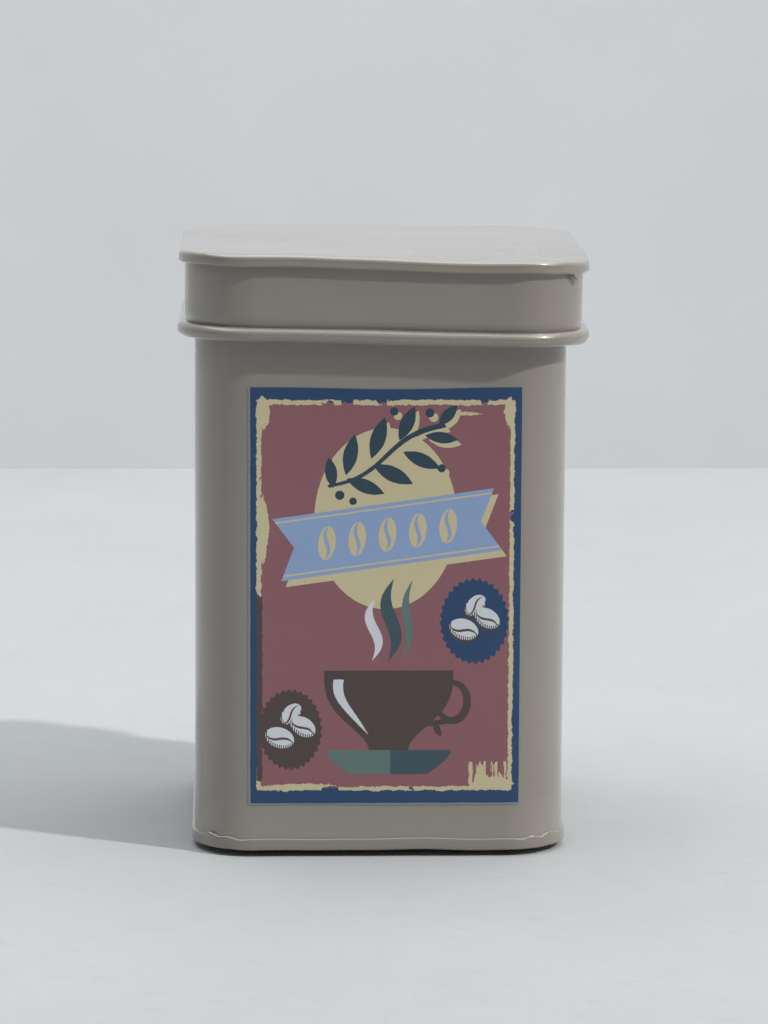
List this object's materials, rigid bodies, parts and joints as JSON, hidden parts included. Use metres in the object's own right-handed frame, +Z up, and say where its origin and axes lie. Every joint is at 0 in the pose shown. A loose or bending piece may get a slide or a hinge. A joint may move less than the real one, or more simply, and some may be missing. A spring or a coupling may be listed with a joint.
{
  "type": "square coffee tin",
  "caption": "Tall square kitchen tin with rounded corners, folded foot seam, front label and a lift-off slip lid with a rolled rim and wired bead.",
  "frame": {"origin": "middle of the footprint, on the surface that the tin stands on", "axes": "+Z up, -Y out of the labelled front face, +X to the right when facing the label"},
  "size_m": [0.11, 0.11, 0.16],
  "materials": {
    "enamelled_steel": "gloss",
    "wire": "drawn",
    "label_print": "satin print"
  },
  "bodies": {
    "tin": {"body_wall": "enamelled_steel", "body_rim_wire": "wire", "base_panel": "enamelled_steel", "label": "label_print"},
    "lid": {"lid_top_panel": "enamelled_steel", "lid_band": "enamelled_steel", "lid_bead_wire": "wire"}
  },
  "joints": [
    {"name": "lid_lift", "type": "slide", "parent": "tin", "child": "lid", "axis": [0, 0, 1], "range_m": [0, 0.06]}
  ]
}
